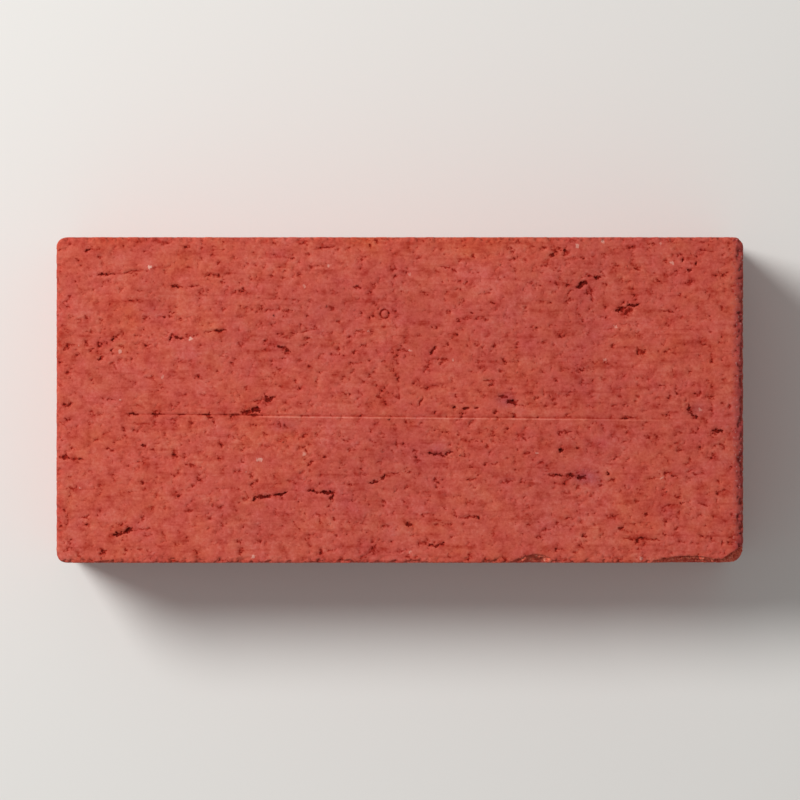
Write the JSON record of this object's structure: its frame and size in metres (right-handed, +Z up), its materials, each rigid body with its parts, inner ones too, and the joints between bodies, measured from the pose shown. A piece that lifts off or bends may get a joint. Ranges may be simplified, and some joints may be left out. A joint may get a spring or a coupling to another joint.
{
  "type": "clay paving brick",
  "caption": "Solid red clay paving brick, extruded and wire-cut, with rounded upright corners, lying flat on its bed face.",
  "frame": {"origin": "middle of the bed face, which rests on the ground", "axes": "+X along the length, towards the end where the cutting wires left the clay; +Y across the width; +Z up through the wearing face"},
  "size_m": [0.215, 0.102, 0.05],
  "materials": {
    "fired_clay": "matte"
  },
  "bodies": {
    "root": {"paving_brick": "fired_clay"}
  },
  "joints": []
}
